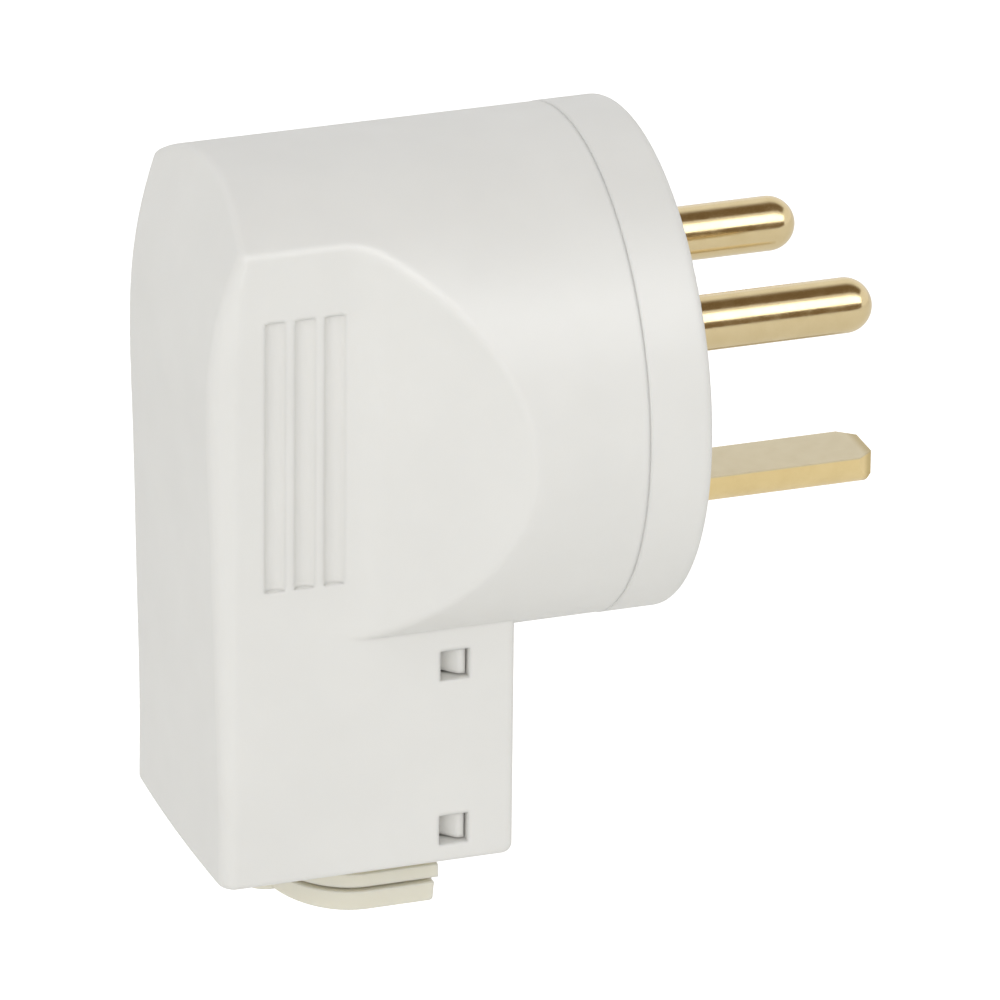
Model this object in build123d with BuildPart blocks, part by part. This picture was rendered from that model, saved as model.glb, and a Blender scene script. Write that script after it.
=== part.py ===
from build123d import *
import os
from math import radians, sqrt, tan

# Right-angle rewirable grounded plug, in millimetres.
# +X runs along the pins, +Z is up, and the cord leaves downwards.
# The origin is the centre of the round front face, which meets the socket.

# Current pins: two round ones side by side, with hemispherical tips
pin_diameter = 4.8
pin_spacing = 19.0
pin_length = 18.5
pin_row_z = 5.8
pin_collar_diameter = 5.4

# Earth pin: a bar of D section whose flat looks up at the round pins
earth_diameter = 6.0
earth_flat_z = -11.7
earth_flat_rise = 0.25
earth_length = 21.9
earth_tip_length = 1.5
earth_tip_inset = 1.2
earth_tip_chamfer = 0.4

# Round head: the rear shell's drum, and the front cover's slightly larger disc
drum_diameter = 44.0
cover_step = 0.05
seam_x = -5.7
cover_edge_radius = 0.8
seam_chamfer = 0.15

# Leg and body behind the drum
body_width = 25.0
leg_front_x = -14.2
leg_bottom_z = -40.1
back_edge_x = -39.2
wall = 2.0
floor_thickness = 1.6
head_edge_radius = 1.0
back_edge_radius = 0.8
bottom_edge_radius = 0.5
leg_corner_radius = 0.9

# Crowned back: how far it stands out behind its side edges, at evenly spaced levels from just
# below the leg to just above the head
crown_overrun = 4.0
crown_bulges = (1.2, 1.35, 1.55, 1.8, 2.1, 2.25, 0.55, -2.6)
crown_sag = 0.3
crown_edge_angle = 30.0
crown_edge_run = 3.0
crown_least_edge = 1.2
crown_corner_radius = 1.6

# Each side is flat at the grip, then bends out to run into the drum
flare_bend_x = -27.9
flare_angle = 38.0
flare_bend_radius = 6.0

# Finger grip: three upright flutes on each side
flute_count = 3
flute_first_x = -35.7
flute_pitch = 2.62
flute_width = 1.85
flute_depth = 0.6
flute_top_z = 12.0
flute_bottom_z = -12.6

# Latch windows in both side walls of the leg, and the hooks that catch in them
window_x = -19.6
window_heights = (-21.55, -37.0)
window_length = 2.6
window_height = 2.75
hook_thickness = 1.3
hook_play = 0.2
hook_nose = 0.6

# Front cover: disc and rim, spigot inside the drum, tongue that closes the leg
disc_thickness = 3.0
spigot_end_x = -9.0
spigot_thickness = 1.9
spigot_play = 0.15
shelf_half_angle = 27.0
tongue_thickness = 1.8
tongue_play = 0.2
tongue_top_z = -16.0
foot_back_x = -20.0
pin_hole_play = 0.05

# Cover screw: through a sleeve of the cover into a brass insert in the shell's boss
cover_screw_z = -3.0
cover_screw_diameter = 3.5
cover_screw_length = 24.0
cover_screw_head_diameter = 6.4
cover_screw_head_height = 2.0
cover_screw_sink = 2.4
cover_screw_play = 0.2
sleeve_diameter = 6.8
sleeve_end_x = -16.0
sleeve_gap = 0.2
boss_diameter = 8.4
insert_diameter = 5.4
insert_length = 7.0
screw_end_room = 5.0

# Terminals: brass blocks with a foot, a wire tunnel and a clamp screw at the rear
foot_thickness = 2.0
foot_margin = 1.2
block_width = 6.4
block_height = 7.0
block_end_x = -13.0
block_edge_radius = 0.6
tunnel_diameter = 3.0
tunnel_x = -9.6
spigot_diameter = 3.4
earth_spigot_diameter = 2.8
spigot_length = 3.0
earth_block_z = -12.4
clamp_screw_diameter = 3.0
clamp_screw_head_diameter = 5.0
clamp_screw_head_height = 1.8
clamp_screw_gap = 0.3
clamp_screw_bite = 0.6
slot_width = 0.8
slot_depth = 0.9
screw_head_chamfer = 0.3

# Pin retainer: moulded plate that holds the terminal feet against the cover
retainer_gap = 0.1
retainer_thickness = 2.4
retainer_rim_room = 1.05
retainer_play = 0.25
retainer_screw_y = 11.0
retainer_screw_z = -5.5
retainer_screw_diameter = 2.6
retainer_screw_length = 6.0
retainer_screw_head_diameter = 5.0
retainer_screw_head_height = 1.7
retainer_boss_diameter = 5.6
barrier_thickness = 1.4
barrier_bottom_z = 1.5
barrier_top_z = 13.5
barrier_end_x = -15.5

# Cord clamp: a saddle screwed down on a cradle behind the tongue
cord_x = -27.0
clamp_bore_diameter = 7.0
clamp_z = -30.5
clamp_height = 4.8
clamp_side_room = 0.4
clamp_split_gap = 0.2
clamp_ear_thickness = 2.4
clamp_arch_wall = 2.0
clamp_screw_y = 7.4
cord_screw_diameter = 2.8
cord_screw_head_diameter = 4.8
cord_screw_head_height = 1.8
cord_screw_length = 9.0

# Cable gland: soft ribbed bush with a straight front and a rounded rear
gland_bend_x = -26.0
gland_rear_length = 6.6
gland_half_width = 8.5
gland_hole_diameter = 8.0
gland_play = 0.15
gland_flange_height = 1.5
gland_flange_reach = 1.2
gland_rib_height = 1.2
gland_rib_lip = 0.35
gland_groove_height = 0.45
gland_groove_depth = 0.55
gland_body_height = 2.05
gland_taper = 0.45
gland_edge_radius = 0.5
gland_lobe_radius = 2.1
gland_lobe_x = -32.5

half_width = body_width / 2
drum_radius = drum_diameter / 2
cover_radius = drum_radius + cover_step
pin_y = pin_spacing / 2
cover_back_x = -disc_thickness
foot_back = cover_back_x - foot_thickness
retainer_front_x = foot_back - retainer_gap
retainer_back_x = retainer_front_x - retainer_thickness
tongue_back_x = leg_front_x - tongue_thickness
floor_z = leg_bottom_z + floor_thickness
gland_front_x = foot_back_x - gland_play
earth_centre_z = earth_flat_z - earth_flat_rise
earth_middle_z = (earth_flat_z + earth_centre_z - earth_diameter / 2) / 2
spigot_outer = drum_radius - wall - spigot_play
spigot_inner = spigot_outer - spigot_thickness
retainer_radius = spigot_inner - retainer_rim_room
hook_y = half_width - wall - tongue_play
clamp_half_width = hook_y - clamp_side_room

boss_end_x = sleeve_end_x - sleeve_gap
flat_top_z = sqrt(drum_radius**2 - half_width**2) - head_edge_radius
edge_tolerance = 0.01
boss_root_x = back_edge_x - wall / 3

os.makedirs("parts", exist_ok=True)


def save(part, name):
    part.label = name
    export_step(part, f"parts/{name}.step")


def crowned_block(setback):
    """Block with a crowned back that rolls over into the sides, moved in by setback."""
    lowest = leg_bottom_z - crown_overrun
    step = (drum_radius + crown_overrun - lowest) / (len(crown_bulges) - 1)
    slope = tan(radians(crown_edge_angle))
    with BuildPart() as block:
        for number, bulge in enumerate(crown_bulges):
            edge = max(bulge, crown_least_edge)
            middle_x = back_edge_x - bulge + setback
            corner_x = middle_x + crown_sag
            corner_y = half_width - setback - (edge - crown_sag) * slope
            outer_x = corner_x + crown_edge_run
            outer_y = corner_y + crown_edge_run * slope
            with BuildSketch(Plane.XY.offset(lowest + number * step)):
                with BuildLine():
                    ThreePointArc((corner_x, -corner_y), (middle_x, 0), (corner_x, corner_y))
                    Polyline(
                        (corner_x, corner_y),
                        (outer_x, outer_y),
                        (outer_x, drum_diameter),
                        (0, drum_diameter),
                        (0, -drum_diameter),
                        (outer_x, -drum_diameter),
                        (outer_x, -outer_y),
                        (corner_x, -corner_y),
                    )
                make_face()
        loft()
    return block.part


def side_relief(inset):
    """What lies beside the body on both sides: beyond the flat grip and the bend outwards."""
    bend = radians(flare_angle)
    flat_y = half_width - inset
    bend_x = flare_bend_x + inset * tan(bend / 2)
    outer_y = cover_radius + 2
    outer_x = bend_x + (outer_y - flat_y) / tan(bend)
    rear_x = 2 * back_edge_x
    with BuildPart() as relief:
        with BuildSketch(Plane.XY.offset(-outer_y)):
            with BuildLine():
                FilletPolyline(
                    (rear_x, flat_y),
                    (bend_x, flat_y),
                    (outer_x, outer_y),
                    radius=flare_bend_radius + inset,
                )
                Polyline((outer_x, outer_y), (rear_x, outer_y), (rear_x, flat_y))
            make_face()
        extrude(amount=2 * outer_y)
        mirror(about=Plane.XZ)
    return relief.part


def gland_plan(grow, front_x=gland_front_x):
    """Plan of the gland, grown outwards: straight front, elliptical rear."""
    rear = gland_rear_length + grow
    width = 2 * (gland_half_width + grow)
    with Locations((gland_bend_x, 0)):
        Ellipse(rear, width / 2)
        Rectangle(rear, width, align=(Align.MIN, Align.CENTER), mode=Mode.SUBTRACT)
        Rectangle(front_x - gland_bend_x, width, align=(Align.MIN, Align.CENTER))


def earth_section(grow):
    """D section of the earth pin, grown outwards by the play of its hole."""
    with Locations((0, earth_centre_z)):
        Circle(earth_diameter / 2 + grow)
        with Locations((0, earth_flat_rise + grow)):
            Rectangle(
                earth_diameter * 2,
                earth_diameter,
                align=(Align.CENTER, Align.MIN),
                mode=Mode.SUBTRACT,
            )


def slotted_screw(head_x, y, z, head, height, shank, length, into=-1):
    """Cheese-head screw along X; its head's underside is at head_x and it runs into the part."""
    with BuildPart() as screw:
        with BuildSketch(Plane.YZ.offset(head_x)):
            with Locations((y, z)):
                Circle(head / 2)
        extrude(amount=-into * height)
        rims = screw.edges().filter_by(GeomType.CIRCLE).sort_by(Axis.X)
        chamfer(rims[-1] if into < 0 else rims[0], screw_head_chamfer)
        with BuildSketch(Plane.YZ.offset(head_x)):
            with Locations((y, z)):
                Circle(shank / 2)
        extrude(amount=into * length)
        with BuildSketch(Plane.YZ.offset(head_x - into * height)):
            with Locations((y, z)):
                Rectangle(head, slot_width)
        extrude(amount=into * slot_depth, mode=Mode.SUBTRACT)
    return screw.part


# Outer form of the rear shell, still solid
with BuildPart() as shell:
    with BuildSketch(Plane.YZ.offset(seam_x)):
        Circle(drum_radius)
    extrude(amount=2 * back_edge_x)
    add(side_relief(0), mode=Mode.SUBTRACT)
    fillet(shell.edges().filter_by(GeomType.ELLIPSE), head_edge_radius)
    with Locations((leg_front_x, 0, leg_bottom_z)):
        Box(drum_diameter, body_width, -leg_bottom_z, align=(Align.MAX, Align.CENTER, Align.MIN))
    add(crowned_block(0), mode=Mode.INTERSECT)
    # The back's upright corners, its outline on the head and the sides, and the leg's bottom
    leg_height = -leg_bottom_z
    back = shell.edges().filter_by_position(Axis.X, 2 * back_edge_x, flute_first_x)
    uprights = back.filter_by(lambda edge: edge.length > leg_height)
    fillet(uprights.filter_by(lambda edge: (edge @ 0.5).X < back_edge_x), crown_corner_radius)
    back = shell.edges().filter_by_position(Axis.X, 2 * back_edge_x, flute_first_x)
    on_head = back.filter_by(lambda edge: (edge @ 0.5).Z > flat_top_z)
    on_sides = back.filter_by(lambda edge: abs((edge @ 0.5).Y) > half_width - edge_tolerance)
    fillet(list(set(on_head + on_sides)), back_edge_radius)
    bottom = shell.edges().filter_by_position(Axis.Z, leg_bottom_z, leg_bottom_z)
    fillet(bottom.sort_by(Axis.X)[-1], leg_corner_radius)
    bottom = shell.edges().filter_by_position(Axis.Z, leg_bottom_z, leg_bottom_z)
    fillet(bottom.sort_by(Axis.X)[:-1], bottom_edge_radius)

# Room inside the rear shell, open at the drum's mouth and at the front of the leg
with BuildPart() as cavity:
    with BuildSketch(Plane.YZ.offset(seam_x)):
        Circle(drum_radius - wall)
    extrude(amount=2 * back_edge_x)
    add(side_relief(wall), mode=Mode.SUBTRACT)
    with Locations((leg_front_x, 0, floor_z)):
        Box(
            drum_diameter,
            body_width - 2 * wall,
            -floor_z,
            align=(Align.MAX, Align.CENTER, Align.MIN),
        )
    add(crowned_block(wall), mode=Mode.INTERSECT)

# Rear shell: drum, body and leg in one moulding
with BuildPart() as housing:
    add(shell.part)
    add(cavity.part, mode=Mode.SUBTRACT)
    # Floor slot that the gland slides into from the front, and the way in for the cover's foot
    with BuildSketch(Plane.XY.offset(leg_bottom_z)):
        gland_plan(gland_play)
        with Locations((gland_front_x, 0)):
            Rectangle(
                leg_front_x - gland_front_x,
                body_width - 2 * wall,
                align=(Align.MIN, Align.CENTER),
            )
    extrude(amount=floor_thickness, mode=Mode.SUBTRACT)
    # Windows for the cover's hooks
    with Locations(*[(window_x, 0, height) for height in window_heights]):
        Box(window_length, 2 * body_width, window_height, mode=Mode.SUBTRACT)
    # Flutes with flat ends
    flute_radius = ((flute_width / 2) ** 2 + flute_depth**2) / (2 * flute_depth)
    flute_y = half_width + flute_radius - flute_depth
    flute_rows = [flute_first_x + number * flute_pitch for number in range(flute_count)]
    with Locations(*[(x, y, flute_bottom_z) for x in flute_rows for y in (-flute_y, flute_y)]):
        Cylinder(
            flute_radius,
            flute_top_z - flute_bottom_z,
            align=(Align.CENTER, Align.CENTER, Align.MIN),
            mode=Mode.SUBTRACT,
        )
    # Boss for the cover screw, rooted in the back wall
    with BuildSketch(Plane.YZ.offset(boss_end_x)):
        with Locations((0, cover_screw_z)):
            Circle(boss_diameter / 2)
    extrude(amount=boss_root_x - boss_end_x)
    with BuildSketch(Plane.YZ.offset(boss_end_x)):
        with Locations((0, cover_screw_z)):
            Circle(insert_diameter / 2)
    extrude(amount=-insert_length, mode=Mode.SUBTRACT)
    with BuildSketch(Plane.YZ.offset(boss_end_x)):
        with Locations((0, cover_screw_z)):
            Circle(cover_screw_diameter / 2 + cover_screw_play)
    extrude(amount=-(insert_length + screw_end_room), mode=Mode.SUBTRACT)
save(housing.part, "housing")

# Front cover: disc and rim, spigot, shelf, tongue, foot, hooks and cord cradle
cradle_end_x = cord_x + clamp_split_gap / 2

with BuildPart() as front_cover:
    with BuildSketch(Plane.YZ):
        Circle(cover_radius)
    extrude(amount=seam_x)
    rims = front_cover.edges().filter_by(GeomType.CIRCLE).sort_by(Axis.X)
    fillet(rims[-1], cover_edge_radius)
    chamfer(rims[0], seam_chamfer)
    with BuildSketch(Plane.YZ.offset(cover_back_x)):
        Circle(spigot_inner)
    extrude(amount=seam_x - cover_back_x, mode=Mode.SUBTRACT)
    with BuildSketch(Plane.YZ.offset(seam_x)):
        Circle(spigot_outer)
        Circle(spigot_inner, mode=Mode.SUBTRACT)
    extrude(amount=spigot_end_x - seam_x)
    # Shelf: the lowest part of the spigot runs on as far as the tongue
    reach = 2 * cover_radius
    spread = reach * tan(radians(shelf_half_angle))
    with BuildSketch(Plane.YZ.offset(spigot_end_x)):
        Circle(spigot_outer)
        Circle(spigot_inner, mode=Mode.SUBTRACT)
        with BuildLine():
            Polyline((0, 0), (-spread, -reach), (spread, -reach), (0, 0))
        make_face(mode=Mode.INTERSECT)
    extrude(amount=tongue_back_x - spigot_end_x)
    # Tongue between the walls of the leg, and the foot that closes the floor slot
    with Locations((leg_front_x, 0, leg_bottom_z)):
        Box(
            tongue_thickness,
            2 * hook_y,
            tongue_top_z - leg_bottom_z,
            align=(Align.MAX, Align.CENTER, Align.MIN),
        )
        Box(
            leg_front_x - foot_back_x,
            2 * hook_y,
            floor_thickness,
            align=(Align.MAX, Align.CENTER, Align.MIN),
        )
    foot_edges = front_cover.edges().filter_by(Axis.Y)
    foot_edges = foot_edges.filter_by_position(Axis.Z, leg_bottom_z, leg_bottom_z)
    fillet(foot_edges.sort_by(Axis.X)[-1], leg_corner_radius)
    # Four sprung hooks that reach back into the windows
    hook_end_x = window_x - window_length / 2 + hook_play
    catch_x = window_x + window_length / 2 - hook_play
    nose_y = hook_y + tongue_play + wall - hook_nose
    for height in window_heights:
        with BuildSketch(Plane.XY.offset(height - window_height / 2 + hook_play)):
            with BuildLine():
                Polyline(
                    (tongue_back_x, hook_y),
                    (catch_x, hook_y),
                    (catch_x, nose_y),
                    (catch_x - hook_nose, nose_y),
                    (hook_end_x, hook_y),
                    (hook_end_x, hook_y - hook_thickness),
                    (tongue_back_x, hook_y - hook_thickness),
                    (tongue_back_x, hook_y),
                )
            make_face()
            mirror(about=Plane.XZ)
        extrude(amount=window_height - 2 * hook_play)
    # Cradle of the cord clamp
    with Locations((tongue_back_x, 0, clamp_z)):
        Box(
            tongue_back_x - cradle_end_x,
            2 * clamp_half_width,
            clamp_height,
            align=(Align.MAX, Align.CENTER, Align.CENTER),
        )
    with Locations((cord_x, 0, clamp_z)):
        Cylinder(clamp_bore_diameter / 2, 2 * clamp_height, mode=Mode.SUBTRACT)
    # Sleeve round the cover screw, and bosses for the retainer's screws
    with BuildSketch(Plane.YZ.offset(cover_back_x)):
        with Locations((0, cover_screw_z)):
            Circle(sleeve_diameter / 2)
    extrude(amount=sleeve_end_x - cover_back_x)
    with BuildSketch(Plane.YZ.offset(cover_back_x)):
        with Locations(*[(y, retainer_screw_z) for y in (-retainer_screw_y, retainer_screw_y)]):
            Circle(retainer_boss_diameter / 2)
    extrude(amount=retainer_front_x - cover_back_x)
    # Screw holes
    with BuildSketch(Plane.YZ):
        with Locations((0, cover_screw_z)):
            Circle(cover_screw_diameter / 2 + cover_screw_play)
    extrude(amount=sleeve_end_x, mode=Mode.SUBTRACT)
    with BuildSketch(Plane.YZ):
        with Locations((0, cover_screw_z)):
            Circle(cover_screw_head_diameter / 2 + cover_screw_play)
    extrude(amount=-cover_screw_sink, mode=Mode.SUBTRACT)
    with BuildSketch(Plane.YZ.offset(retainer_front_x)):
        with Locations(*[(y, retainer_screw_z) for y in (-retainer_screw_y, retainer_screw_y)]):
            Circle(retainer_screw_diameter / 2)
    extrude(amount=retainer_screw_length - retainer_thickness, mode=Mode.SUBTRACT)
    with BuildSketch(Plane.YZ.offset(cradle_end_x)):
        with Locations(*[(y, clamp_z) for y in (-clamp_screw_y, clamp_screw_y)]):
            Circle(cord_screw_diameter / 2)
    extrude(amount=cord_screw_length, mode=Mode.SUBTRACT)
    # Holes for the pins
    with BuildSketch(Plane.YZ):
        with Locations((-pin_y, pin_row_z), (pin_y, pin_row_z)):
            Circle(pin_collar_diameter / 2 + pin_hole_play)
    extrude(amount=cover_back_x, mode=Mode.SUBTRACT)
    with BuildSketch(Plane.YZ):
        earth_section(pin_hole_play)
    extrude(amount=cover_back_x, mode=Mode.SUBTRACT)
save(front_cover.part, "front_cover")

# Round current pins: hemispherical tip, shank, collar flush with the face, and a spigot
# pressed into the terminal
tip_x = pin_length - pin_diameter / 2
top_z = pin_row_z + pin_diameter / 2
collar_z = pin_row_z + pin_collar_diameter / 2
spigot_z = pin_row_z + spigot_diameter / 2
for name, y in (("line", -pin_y), ("neutral", pin_y)):
    with BuildPart() as pin:
        with BuildSketch(Plane.XZ.offset(-y)):
            with BuildLine():
                Polyline(
                    (tip_x, top_z),
                    (0, top_z),
                    (0, collar_z),
                    (cover_back_x, collar_z),
                    (cover_back_x, spigot_z),
                    (cover_back_x - spigot_length, spigot_z),
                    (cover_back_x - spigot_length, pin_row_z),
                    (pin_length, pin_row_z),
                )
                RadiusArc((pin_length, pin_row_z), (tip_x, top_z), -pin_diameter / 2)
            make_face()
        revolve(axis=Axis((0, y, pin_row_z), (1, 0, 0)))
    save(pin.part, f"{name}_pin")

# Earth pin: D-section bar with a chamfered tip and a round spigot
with BuildPart() as earth_pin:
    with BuildSketch(Plane.YZ.offset(cover_back_x)):
        earth_section(0)
    extrude(amount=earth_length - cover_back_x)
    tip = earth_pin.faces().sort_by(Axis.X)[-1]
    chamfer(tip.edges().sort_by(Axis.Z)[0], earth_tip_chamfer)
    with BuildSketch(Plane.XY.offset(earth_flat_z)):
        with BuildLine():
            Polyline(
                (earth_length - earth_tip_length, earth_diameter / 2),
                (earth_length, earth_diameter / 2 - earth_tip_inset),
                (earth_length, earth_diameter / 2),
                (earth_length - earth_tip_length, earth_diameter / 2),
            )
        make_face()
        mirror(about=Plane.XZ)
    extrude(amount=-earth_diameter, mode=Mode.SUBTRACT)
    with BuildSketch(Plane.YZ.offset(cover_back_x)):
        with Locations((0, earth_middle_z)):
            Circle(earth_spigot_diameter / 2)
    extrude(amount=-spigot_length)
save(earth_pin.part, "earth_pin")

# Terminals: one for each pin, with its foot on the cover and its screw at the rear
terminals = (
    ("line", -pin_y, pin_row_z, pin_row_z, spigot_diameter, Axis.Z),
    ("neutral", pin_y, pin_row_z, pin_row_z, spigot_diameter, Axis.Z),
    ("earth", 0, earth_block_z, earth_middle_z, earth_spigot_diameter, Axis.Y),
)
for name, y, z, spigot_z, spigot, tunnel_axis in terminals:
    with BuildPart() as terminal:
        with Locations((cover_back_x, y, z)):
            Box(
                foot_thickness,
                block_width + 2 * foot_margin,
                block_height + 2 * foot_margin,
                align=(Align.MAX, Align.CENTER, Align.CENTER),
            )
            Box(
                cover_back_x - block_end_x,
                block_width,
                block_height,
                align=(Align.MAX, Align.CENTER, Align.CENTER),
            )
        fillet(terminal.edges().filter_by(Axis.X), block_edge_radius)
        with BuildSketch(Plane.YZ.offset(cover_back_x)):
            with Locations((y, spigot_z)):
                Circle(spigot / 2)
        extrude(amount=-spigot_length, mode=Mode.SUBTRACT)
        with BuildSketch(Plane.YZ.offset(block_end_x)):
            with Locations((y, z)):
                Circle(clamp_screw_diameter / 2)
        extrude(amount=tunnel_x - block_end_x, mode=Mode.SUBTRACT)
        tunnel_turn = (0, 0, 0) if tunnel_axis == Axis.Z else (90, 0, 0)
        with Locations((tunnel_x, y, z)):
            Cylinder(tunnel_diameter / 2, 2 * block_height, rotation=tunnel_turn, mode=Mode.SUBTRACT)
    save(terminal.part, f"{name}_terminal")
    clamp_screw = slotted_screw(
        block_end_x - clamp_screw_gap,
        y,
        z,
        clamp_screw_head_diameter,
        clamp_screw_head_height,
        clamp_screw_diameter,
        tunnel_x - tunnel_diameter / 2 + clamp_screw_bite - block_end_x + clamp_screw_gap,
        into=1,
    )
    save(clamp_screw, f"{name}_terminal_screw")

# Pin retainer: plate with a window for each terminal, and a wall between the live ones
with BuildPart() as retainer:
    with BuildSketch(Plane.YZ.offset(retainer_front_x)):
        Circle(retainer_radius)
        for name, y, z, spigot_z, spigot, tunnel_axis in terminals:
            with Locations((y, z)):
                Rectangle(
                    block_width + 2 * retainer_play,
                    block_height + 2 * retainer_play,
                    mode=Mode.SUBTRACT,
                )
        with Locations((0, cover_screw_z)):
            Circle(sleeve_diameter / 2 + retainer_play, mode=Mode.SUBTRACT)
        with Locations(*[(y, retainer_screw_z) for y in (-retainer_screw_y, retainer_screw_y)]):
            Circle(retainer_screw_diameter / 2, mode=Mode.SUBTRACT)
    extrude(amount=-retainer_thickness)
    with Locations((retainer_back_x, 0, barrier_bottom_z)):
        Box(
            retainer_back_x - barrier_end_x,
            barrier_thickness,
            barrier_top_z - barrier_bottom_z,
            align=(Align.MAX, Align.CENTER, Align.MIN),
        )
save(retainer.part, "pin_retainer")

for side, y in (("left", -1), ("right", 1)):
    retainer_screw = slotted_screw(
        retainer_back_x,
        y * retainer_screw_y,
        retainer_screw_z,
        retainer_screw_head_diameter,
        retainer_screw_head_height,
        retainer_screw_diameter,
        retainer_screw_length,
        into=1,
    )
    save(retainer_screw, f"retainer_screw_{side}")

# Cover screw and the brass insert that it turns into
cover_screw = slotted_screw(
    -cover_screw_sink,
    0,
    cover_screw_z,
    cover_screw_head_diameter,
    cover_screw_head_height,
    cover_screw_diameter,
    cover_screw_length,
    into=-1,
)
save(cover_screw, "cover_screw")

with BuildPart() as insert:
    with BuildSketch(Plane.YZ.offset(boss_end_x)):
        with Locations((0, cover_screw_z)):
            Circle(insert_diameter / 2)
            Circle(cover_screw_diameter / 2, mode=Mode.SUBTRACT)
    extrude(amount=-insert_length)
save(insert.part, "cover_screw_insert")

# Saddle of the cord clamp, with an arch over the cord and an ear at each end
saddle_front_x = cord_x - clamp_split_gap / 2
with BuildPart() as saddle:
    with Locations((saddle_front_x, 0, clamp_z)):
        Box(
            clamp_ear_thickness,
            2 * clamp_half_width,
            clamp_height,
            align=(Align.MAX, Align.CENTER, Align.CENTER),
        )
    with Locations((cord_x, 0, clamp_z)):
        Cylinder(clamp_bore_diameter / 2 + clamp_arch_wall, clamp_height)
    with Locations((saddle_front_x, 0, clamp_z)):
        Box(
            clamp_half_width,
            3 * clamp_half_width,
            2 * clamp_height,
            align=(Align.MIN, Align.CENTER, Align.CENTER),
            mode=Mode.SUBTRACT,
        )
    with Locations((cord_x, 0, clamp_z)):
        Cylinder(clamp_bore_diameter / 2, 2 * clamp_height, mode=Mode.SUBTRACT)
    with BuildSketch(Plane.YZ.offset(saddle_front_x)):
        with Locations(*[(y, clamp_z) for y in (-clamp_screw_y, clamp_screw_y)]):
            Circle(cord_screw_diameter / 2)
    extrude(amount=-clamp_ear_thickness, mode=Mode.SUBTRACT)
save(saddle.part, "cord_clamp_saddle")

for side, y in (("left", -1), ("right", 1)):
    cord_screw = slotted_screw(
        saddle_front_x - clamp_ear_thickness,
        y * clamp_screw_y,
        clamp_z,
        cord_screw_head_diameter,
        cord_screw_head_height,
        cord_screw_diameter,
        cord_screw_length,
        into=1,
    )
    save(cord_screw, f"cord_clamp_screw_{side}")

# Gland: flange inside the floor, neck in its slot, two ribs below it and a tapered end
neck_bottom_z = leg_bottom_z - gland_play
first_rib_z = neck_bottom_z - gland_rib_height
second_rib_z = first_rib_z - gland_groove_height - gland_rib_height
body_top_z = second_rib_z - gland_groove_height
gland_bottom_z = body_top_z - gland_body_height
with BuildPart() as gland:
    with BuildSketch(Plane.XY.offset(floor_z + gland_play)):
        gland_plan(gland_flange_reach, hook_end_x - gland_play)
    extrude(amount=gland_flange_height)
    with BuildSketch(Plane.XY.offset(floor_z + gland_play)):
        gland_plan(0)
    extrude(amount=body_top_z - floor_z)
    for rib_z in (first_rib_z, second_rib_z):
        with BuildSketch(Plane.XY.offset(rib_z)):
            gland_plan(gland_groove_depth, gland_front_x + gland_rib_lip)
        extrude(amount=gland_rib_height)
    with BuildSketch(Plane.XY.offset(body_top_z)):
        gland_plan(gland_groove_depth)
    with BuildSketch(Plane.XY.offset(gland_bottom_z)):
        gland_plan(gland_groove_depth - gland_taper)
    loft()
    fillet(gland.edges().group_by(Axis.Z)[0], gland_edge_radius)
    with BuildSketch(Plane.XY.offset(gland_bottom_z)):
        with Locations((gland_lobe_x, 0)):
            Circle(gland_lobe_radius)
    extrude(amount=first_rib_z - gland_bottom_z)
    with BuildSketch(Plane.XY.offset(gland_bottom_z)):
        with Locations((cord_x, 0)):
            Circle(gland_hole_diameter / 2)
    extrude(amount=floor_z - gland_bottom_z + 2 * gland_flange_height, mode=Mode.SUBTRACT)
save(gland.part, "cable_gland")
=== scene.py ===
# %% [markdown]
# A right-angle grounded plug in off-white plastic, lit on a white ground as for a catalogue.
# The solids come packed from the CAD model as a fixed frame in metres, with +X out along the
# pins and +Z up. This lesson adds what CAD lacks: the camera, the studio, and a finish for
# each piece that shows how it was made.

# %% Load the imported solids
import math

import bpy
from mathutils import Matrix, Vector


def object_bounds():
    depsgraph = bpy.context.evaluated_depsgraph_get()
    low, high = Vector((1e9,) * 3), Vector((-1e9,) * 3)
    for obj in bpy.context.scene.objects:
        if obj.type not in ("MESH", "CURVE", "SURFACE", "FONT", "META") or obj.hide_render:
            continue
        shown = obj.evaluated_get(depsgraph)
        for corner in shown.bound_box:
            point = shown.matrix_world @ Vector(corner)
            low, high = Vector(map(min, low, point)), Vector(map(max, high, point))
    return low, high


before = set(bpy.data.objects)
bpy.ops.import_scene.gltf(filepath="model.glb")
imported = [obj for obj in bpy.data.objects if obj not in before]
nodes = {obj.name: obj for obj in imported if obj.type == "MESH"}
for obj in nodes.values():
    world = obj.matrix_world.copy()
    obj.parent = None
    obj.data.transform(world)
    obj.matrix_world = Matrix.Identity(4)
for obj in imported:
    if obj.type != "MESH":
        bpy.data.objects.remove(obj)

cad_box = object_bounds()
bpy.ops.object.select_all(action="DESELECT")
print("solids:", len(nodes), "box:", cad_box)

# %% [markdown]
# The camera stands behind and to the left of the plug and looks down on it by 24 degrees. A
# long lens a metre away gives the flat perspective of a catalogue picture. The view is set by
# two angles, a slight roll, and the place in the picture where the middle of the front face
# falls, so the lens needs no shift.

# %% Camera
MM = 0.001
turn = 0.3350930
tilt = 0.4185543
roll = 0.0109087
distance = 1.0
focal_px = 11684.718
face_px = (627.196, 348.4)
image_px = 1000
sensor_mm = 36.0

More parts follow.
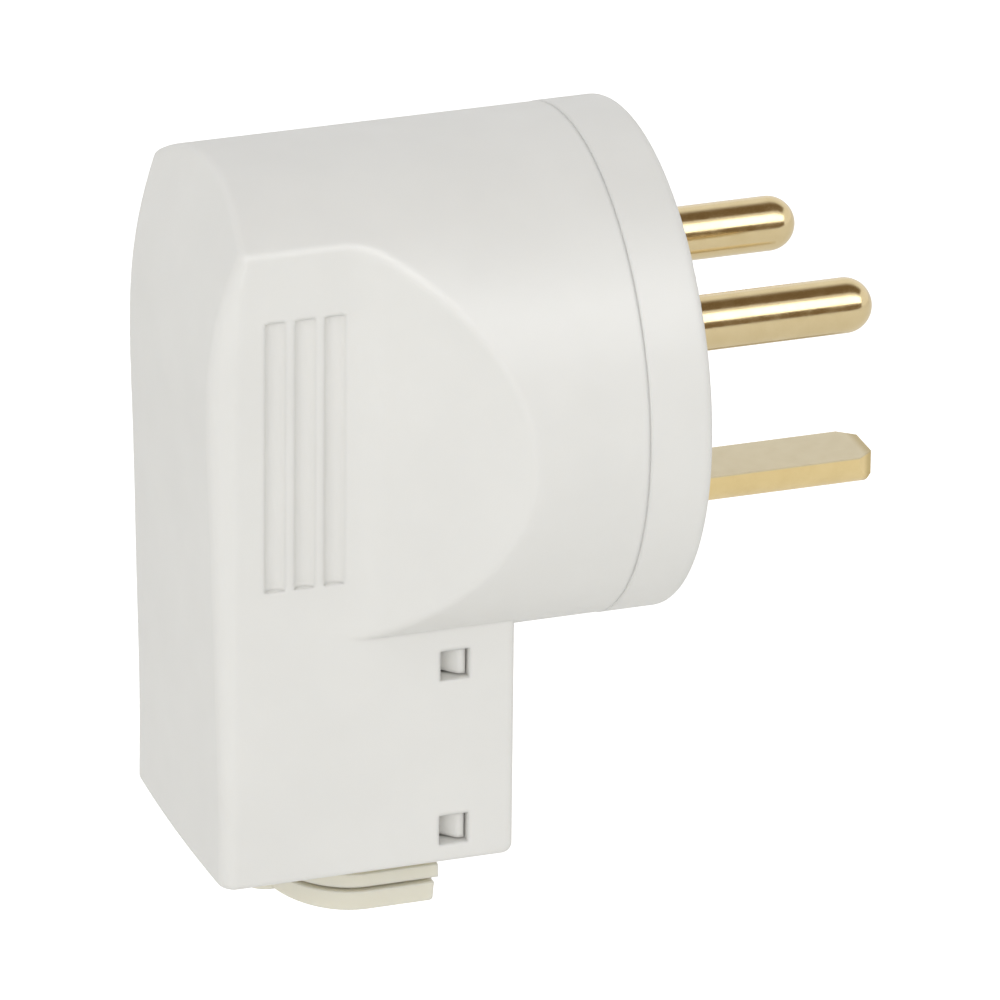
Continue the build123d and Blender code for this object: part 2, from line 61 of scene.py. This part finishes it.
forward = Vector((math.sin(turn) * math.cos(tilt), math.cos(turn) * math.cos(tilt), -math.sin(tilt)))
level_right = Vector((math.cos(turn), -math.sin(turn), 0))
level_up = level_right.cross(forward)
right = math.cos(roll) * level_right + math.sin(roll) * level_up
up = math.cos(roll) * level_up - math.sin(roll) * level_right
across = (face_px[0] - image_px / 2) * distance / focal_px
above = (image_px / 2 - face_px[1]) * distance / focal_px
eye = -(across * right + above * up + distance * forward)

camera_data = bpy.data.cameras.new("camera")
camera_data.sensor_width = sensor_mm
camera_data.lens = focal_px * sensor_mm / image_px
camera = bpy.data.objects.new("camera", camera_data)
bpy.context.scene.collection.objects.link(camera)
camera.matrix_world = Matrix.Translation(eye) @ Matrix((right, up, -forward)).transposed().to_4x4()
bpy.context.scene.camera = camera
print("lens mm:", round(camera_data.lens, 1), "eye:", tuple(round(c, 4) for c in eye))

# %% [markdown]
# Every finish below is a small graph of shader nodes. One helper adds a node with its settings
# and its links, and one function turns a hex colour, as a paint program shows it, into the
# linear values that light works with. An input is named by its label, with _ for a space, or
# by its number after a _, where two inputs share a label.

# %% Helpers for materials
def linear(hex_colour):
    channels = [int(hex_colour[i:i + 2], 16) / 255 for i in (1, 3, 5)]
    return [c / 12.92 if c <= 0.04045 else ((c + 0.055) / 1.055) ** 2.4 for c in channels] + [1]


def add_node(graph, kind, settings=None, **inputs):
    node = graph.nodes.new("ShaderNode" + kind)
    for key, value in (settings or {}).items():
        setattr(node, key, value)
    for key, value in inputs.items():
        socket = node.inputs[int(key[1:])] if key[0] == "_" else node.inputs[key.replace("_", " ")]
        if isinstance(value, bpy.types.NodeSocket):
            graph.links.new(value, socket)
        else:
            socket.default_value = value
    return node


def new_material(name):
    material = bpy.data.materials.new(name)
    material.use_nodes = True
    graph = material.node_tree
    graph.nodes.clear()
    shader = add_node(graph, "BsdfPrincipled")
    add_node(graph, "OutputMaterial", Surface=shader.outputs[0])
    place = add_node(graph, "TexCoord").outputs["Object"]
    return material, graph, shader, place


def dress(material, *names):
    for name in names:
        piece = nodes[name]
        piece.data.materials.clear()
        piece.data.materials.append(material)


print("#BCBCBC in linear light:", round(linear("#BCBCBC")[0], 3))

# %% [markdown]
# The shell and the cover are injection moulded in a white engineering plastic, ABS or
# polycarbonate. The tool was polished and then lightly stoned, so the surface is satin. Its
# pits are a few hundredths of a millimetre on the real thing, and are drawn some five times
# coarser, so that they show and blur the reflections. The wall sinks by a few hundredths over
# a centimetre, which makes long highlights waver. The plastic is a little translucent and the
# white is warm. A Bevel node rounds its edges in the shading, as a worn tool does, which the
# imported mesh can't be changed for.

# %% Moulded plastic
noise_low, noise_high = 0.3, 0.7
roughness_below, roughness_above = 0.04, 0.05
tint_mm, rub_mm, sink_mm, sink_depth_mm = 9.0, 3.5, 12.0, 0.05
deeper_tint = 0.97
plastic_ior = 1.53
milky = (1.0, 0.92, 0.8)


def moulded_plastic(name, hex_colour, roughness, pit_mm, pit_depth_mm, soft_edge_mm, glow, glow_mm):
    material, graph, shader, place = new_material(name)
    cloud = add_node(graph, "TexNoise", Vector=place, Scale=1 / (tint_mm * MM), Detail=3.0)
    tint = add_node(graph, "MapRange", Value=cloud.outputs["Fac"], From_Min=noise_low, From_Max=noise_high)
    deeper = [c * deeper_tint for c in linear(hex_colour)[:3]] + [1]
    colour = add_node(
        graph, "Mix", {"data_type": "RGBA"}, _0=tint.outputs[0], _6=linear(hex_colour), _7=deeper,
    )
    graph.links.new(colour.outputs[2], shader.inputs["Base Color"])
    rub = add_node(graph, "TexNoise", Vector=place, Scale=1 / (rub_mm * MM), Detail=4.0)
    patches = add_node(
        graph, "MapRange", Value=rub.outputs["Fac"], From_Min=noise_low, From_Max=noise_high,
        To_Min=roughness - roughness_below, To_Max=roughness + roughness_above,
    )
    graph.links.new(patches.outputs[0], shader.inputs["Roughness"])
    edge = add_node(graph, "Bevel", {"samples": 6}, Radius=soft_edge_mm * MM)
    sink_height = add_node(graph, "TexNoise", Vector=place, Scale=1 / (sink_mm * MM), Detail=1.0)
    sink = add_node(
        graph, "Bump", Strength=0.5, Distance=sink_depth_mm * MM,
        Height=sink_height.outputs["Fac"], Normal=edge.outputs[0],
    )
    pit_height = add_node(graph, "TexNoise", Vector=place, Scale=1 / (pit_mm * MM), Detail=2.0)
    pits = add_node(
        graph, "Bump", Strength=1.0, Distance=pit_depth_mm * MM,
        Height=pit_height.outputs["Fac"], Normal=sink.outputs[0],
    )
    graph.links.new(pits.outputs[0], shader.inputs["Normal"])
    shader.inputs["IOR"].default_value = plastic_ior
    shader.inputs["Subsurface Weight"].default_value = glow
    shader.inputs["Subsurface Radius"].default_value = milky
    shader.inputs["Subsurface Scale"].default_value = glow_mm * MM
    return material


shell_plastic = moulded_plastic(
    "moulded_abs_satin_white", "#E4E3DF", roughness=0.46, pit_mm=0.22, pit_depth_mm=0.004,
    soft_edge_mm=0.6, glow=0.15, glow_mm=0.6,
)
dress(shell_plastic, "housing", "front_cover")
print("shell:", shell_plastic.name)

# %% [markdown]
# The pin retainer and the saddle of the cord clamp sit beside hot terminals, so they are
# moulded in a thermoset. It is greyer and duller than the shell and lets no light in.

# %% Thermoset
inner_plastic = moulded_plastic(
    "moulded_thermoset_matt_white", "#D8D8D2", roughness=0.55, pit_mm=0.3, pit_depth_mm=0.006,
    soft_edge_mm=0.2, glow=0.0, glow_mm=0.0,
)
dress(inner_plastic, "pin_retainer", "cord_clamp_saddle")
print("inside:", inner_plastic.name)

# %% [markdown]
# The gland is a soft elastomer in a creamier white. It is duller than the shell, because a
# flexible moulding copies the grain of its tool and takes no polish, and light goes a
# millimetre or two into it, which fills its grooves.

# %% Soft elastomer
gland_rubber = moulded_plastic(
    "moulded_elastomer_cream", "#E1DDCD", roughness=0.55, pit_mm=0.35, pit_depth_mm=0.008,
    soft_edge_mm=0.35, glow=0.5, glow_mm=2.0,
)
dress(gland_rubber, "cable_gland")
print("elastomer:", gland_rubber.name)

# %% [markdown]
# The round pins are turned from brass bar and tumbled bright. Brass takes its colour from its
# reflection alone, so the metal is fully metallic, and its roughness decides how sharply the
# studio shows in it. Tumbling leaves small dimples, which fray the edges of the highlight.
# They are drawn a few times coarser than real ones, so that they show.

# %% Turned brass
tarnish_mm, wear_mm = 2.5, 1.2
tarnish_tint = (0.93, 0.91, 0.86)


def metal(name, hex_colour, roughness, dimple_mm, dimple_depth_mm):
    material, graph, shader, place = new_material(name)
    shader.inputs["Metallic"].default_value = 1.0
    tarnish = add_node(
        graph, "TexNoise", Vector=place, Scale=1 / (tarnish_mm * MM), Detail=5.0, Roughness=0.6,
    )
    worn = add_node(
        graph, "MapRange", Value=tarnish.outputs["Fac"], From_Min=noise_low, From_Max=noise_high,
    )
    darker = [c * tint for c, tint in zip(linear(hex_colour), tarnish_tint)] + [1]
    colour = add_node(
        graph, "Mix", {"data_type": "RGBA"}, _0=worn.outputs[0], _6=linear(hex_colour), _7=darker,
    )
    graph.links.new(colour.outputs[2], shader.inputs["Base Color"])
    rub = add_node(graph, "TexNoise", Vector=place, Scale=1 / (wear_mm * MM), Detail=4.0)
    patches = add_node(
        graph, "MapRange", Value=rub.outputs["Fac"], From_Min=noise_low, From_Max=noise_high,
        To_Min=roughness - roughness_below, To_Max=roughness + roughness_above,
    )
    graph.links.new(patches.outputs[0], shader.inputs["Roughness"])
    dimples = add_node(
        graph, "TexNoise", Vector=place, Scale=1 / (dimple_mm * MM), Detail=3.0, Roughness=0.6,
    )
    bump = add_node(
        graph, "Bump", Strength=1.0, Distance=dimple_depth_mm * MM, Height=dimples.outputs["Fac"],
    )
    graph.links.new(bump.outputs[0], shader.inputs["Normal"])
    return material, graph, shader, place


pin_brass, *_ = metal(
    "turned_brass_tumbled", "#DECBA1", roughness=0.17, dimple_mm=0.14, dimple_depth_mm=0.003,
)
dress(pin_brass, "line_pin", "neutral_pin")
print("pins:", pin_brass.name)

# %% [markdown]
# The terminals and the insert are cut from brass and left as the tool leaves them, so they are
# yellower and duller than the tumbled pins.

# %% Machined brass
block_brass, *_ = metal(
    "machined_brass_satin", "#D9BA77", roughness=0.28, dimple_mm=0.3, dimple_depth_mm=0.003,
)
dress(block_brass, "line_terminal", "neutral_terminal", "earth_terminal", "cover_screw_insert")
print("terminals:", block_brass.name)

# %% [markdown]
# The earth pin is a drawn brass bar with a milled flat. The round side keeps the yellow of
# drawn brass. The flat is matt and greyer. Towards the tip the colour is painted a darker
# brown. This is painted shade that stands in for a dark reflection there. Two masks on the bar's
# own coordinates place them, measured from its flat and from its tip.

# %% Drawn and milled brass
bar_brass, bar_graph, bar_shader, bar_place = metal(
    "drawn_brass_milled_flat", "#EDD6A0", roughness=0.36, dimple_mm=0.4, dimple_depth_mm=0.008,
)
bar_axes = add_node(bar_graph, "SeparateXYZ", Vector=bar_place)
flat_z = max(v.co.z for v in nodes["earth_pin"].data.vertices)
tip_x = max(v.co.x for v in nodes["earth_pin"].data.vertices)
flat_from_mm, flat_to_mm = 0.2, 0.02
tip_from_mm, tip_to_mm = 1.0, 0.2
tip_shade_strength = 0.6
on_flat = add_node(
    bar_graph, "MapRange", {"interpolation_type": "SMOOTHSTEP"},
    Value=bar_axes.outputs["Z"], From_Min=flat_z - flat_from_mm * MM, From_Max=flat_z - flat_to_mm * MM,
)
tip_shade_mask = add_node(
    bar_graph, "MapRange", {"interpolation_type": "SMOOTHSTEP"},
    Value=bar_axes.outputs["X"], From_Min=tip_x - tip_from_mm * MM, From_Max=tip_x - tip_to_mm * MM,
)
drawn = bar_shader.inputs["Base Color"].links[0].from_socket
milled = add_node(
    bar_graph, "Mix", {"data_type": "RGBA"}, _0=on_flat.outputs[0], _6=drawn, _7=linear("#D2C6A8"),
)
# Painted shade: near the tip the colour is mixed with a darker brown, in place of a dark reflection.
tip_shade_amount = add_node(bar_graph, "Math", {"operation": "MULTIPLY"}, _0=tip_shade_mask.outputs[0], _1=tip_shade_strength)
tip_shaded_colour = add_node(
    bar_graph, "Mix", {"data_type": "RGBA"},
    _0=tip_shade_amount.outputs[0], _6=milled.outputs[2], _7=linear("#B09A62"),
)
bar_graph.links.new(tip_shaded_colour.outputs[2], bar_shader.inputs["Base Color"])
dress(bar_brass, "earth_pin")
print("earth pin flat at mm:", round(flat_z / MM, 2), "tip at mm:", round(tip_x / MM, 2))

# %% [markdown]
# The screws are steel with a bright zinc plating, which is a thin, cool coat over cut metal.
# Only the head of the cover screw shows from outside, so all eight share one finish and keep
# the shape that they have in the CAD model.

# %% Plated screws
screw_steel, *_ = metal(
    "zinc_plated_steel", "#C9CBCD", roughness=0.3, dimple_mm=0.2, dimple_depth_mm=0.003,
)
dress(
    screw_steel, "line_terminal_screw", "neutral_terminal_screw", "earth_terminal_screw",
    "retainer_screw_left", "retainer_screw_right", "cover_screw",
    "cord_clamp_screw_left", "cord_clamp_screw_right",
)
print("screws:", screw_steel.name)

# %% [markdown]
# The studio is a white paper sweep under a white world that lights everything evenly. Both are
# pure white to the eye. What they give to the plug is a little lower, so pale plastic keeps
# its shape, and the paper is a shade greyer in reflections, which tones the underside of the
# pins. The standard view shows each colour about as it is written.

# %% World
bpy.context.scene.view_settings.view_transform = "Standard"


def seen_strength(graph, lit, to_camera, in_reflections):
    path = add_node(graph, "LightPath")
    mirrored = add_node(
        graph, "Math", {"operation": "MAXIMUM"},
        _0=path.outputs["Is Glossy Ray"], _1=path.outputs["Is Transmission Ray"],
    )
    reflected = add_node(
        graph, "Mix", {"data_type": "FLOAT"}, _0=mirrored.outputs[0], _2=lit, _3=in_reflections,
    )
    seen = add_node(
        graph, "Mix", {"data_type": "FLOAT"},
        _0=path.outputs["Is Camera Ray"], _2=reflected.outputs[0], _3=to_camera,
    )
    return seen.outputs[0]


world = bpy.data.worlds.new("studio")
world.use_nodes = True
world.node_tree.nodes.clear()
strength = seen_strength(world.node_tree, lit=0.775, to_camera=1.0, in_reflections=1.0)
background = add_node(world.node_tree, "Background", Color=(1, 1, 1, 1), Strength=strength)
add_node(world.node_tree, "OutputWorld", Surface=background.outputs[0])
bpy.context.scene.world = world
print("world:", world.name)

# %% [markdown]
# The paper lies 30 mm below the gland, so its shadow under the plug stays faint.

# %% Paper sweep
def studio_plane(name, width, height, place, target=(0, 0, 0)):
    bpy.ops.mesh.primitive_plane_add(size=1, location=(0, 0, 0))
    plane = bpy.context.object
    plane.name = name
    aim = (Vector(target) - Vector(place)).to_track_quat("Z", "Y").to_matrix().to_4x4()
    plane.data.transform(Matrix.Translation(place) @ aim @ Matrix.Diagonal((width, height, 1, 1)))
    plane.select_set(False)
    return plane


floor_drop_mm = 30
floor_size = 6
floor_z = cad_box[0][2] - floor_drop_mm * MM
floor = studio_plane("floor", floor_size, floor_size, (0, 0, floor_z), target=(0, 0, 1))
floor_paper, floor_graph, floor_shader, _ = new_material("white_paper_sweep")
floor_shader.inputs["Base Color"].default_value = linear("#F2F2F0")
floor_shader.inputs["Roughness"].default_value = 0.9
floor_shader.inputs["Emission Color"].default_value = (1, 1, 1, 1)
paper_glow = seen_strength(floor_graph, lit=0.0, to_camera=0.5, in_reflections=0.10)
floor_graph.links.new(paper_glow, floor_shader.inputs["Emission Strength"])
floor.data.materials.append(floor_paper)
print("floor at mm:", round(floor_z / MM, 1))

# %% [markdown]
# Bright metal shows the room and nothing else, so round pins are lit by what stands around
# them. A photographer puts a white card high in front for the long highlight, and brown cards
# below and above it to draw its dark edges. Each card stands square to the pins, and its edges
# are given by their height in degrees as the pins see them. These cards are seen in
# reflections only, and the high one fades to white at the back.

# %% Cards that the pins reflect
card_distance = 2.0
card_width = 5.0
card_middle_x = 0.7


def reflected_card(name, low_degrees, high_degrees, hex_colour, strength, fade_degrees=0):
    middle = math.radians((low_degrees + high_degrees) / 2)
    height = 2 * card_distance * math.tan(math.radians(high_degrees - low_degrees) / 2)
    place = (card_middle_x, -card_distance * math.cos(middle), card_distance * math.sin(middle))
    card = studio_plane(name, card_width, height, place, target=(card_middle_x, 0, 0))
    material, graph, shader, coordinates = new_material(name)
    shader.inputs["Base Color"].default_value = (0, 0, 0, 1)
    shader.inputs["Specular IOR Level"].default_value = 0.0
    shader.inputs["Emission Strength"].default_value = strength
    if fade_degrees:
        depth = add_node(graph, "SeparateXYZ", Vector=coordinates).outputs["Y"]
        fade = add_node(
            graph, "MapRange", {"interpolation_type": "SMOOTHSTEP"}, Value=depth,
            From_Min=-card_distance * math.cos(math.radians(high_degrees - fade_degrees)),
            From_Max=-card_distance * math.cos(math.radians(high_degrees)),
        )
        colour = add_node(
            graph, "Mix", {"data_type": "RGBA"},
            _0=fade.outputs[0], _6=linear(hex_colour), _7=linear("#FFFFFF"),
        )
        graph.links.new(colour.outputs[2], shader.inputs["Emission Color"])
    else:
        shader.inputs["Emission Color"].default_value = linear(hex_colour)
    card.data.materials.append(material)
    card.visible_camera = False
    card.visible_diffuse = False
    card.visible_transmission = False
    card.visible_shadow = False
    return card


cards = [
    reflected_card("brown_card_low", -1, 24, "#826F55", strength=1.0),
    reflected_card("white_card", 27, 59, "#FFFFFF", strength=2.9),
    reflected_card("brown_card_high", 72, 139, "#7C694F", strength=1.0, fade_degrees=32),
]
print("cards:", [card.name for card in cards])

# %% [markdown]
# One large soft lamp stands in front and to the left, a little above the plug. It is only
# slightly brighter than the white room, which is what gives the flat, even look of a catalogue
# picture while the slanted side still reads lighter than the back.

# %% Soft lamp
lamp_place = (-0.674, -1.268, 0.438)
lamp_data = bpy.data.lights.new("left_soft_lamp", "AREA")
lamp_data.shape = "RECTANGLE"
lamp_data.size = 1.2
lamp_data.size_y = 1.2
lamp_data.energy = 6.6
lamp = bpy.data.objects.new("left_soft_lamp", lamp_data)
bpy.context.scene.collection.objects.link(lamp)
lamp.location = lamp_place
lamp.rotation_euler = (-Vector(lamp_place)).to_track_quat("-Z", "Y").to_euler()
print("lamp:", lamp.name)
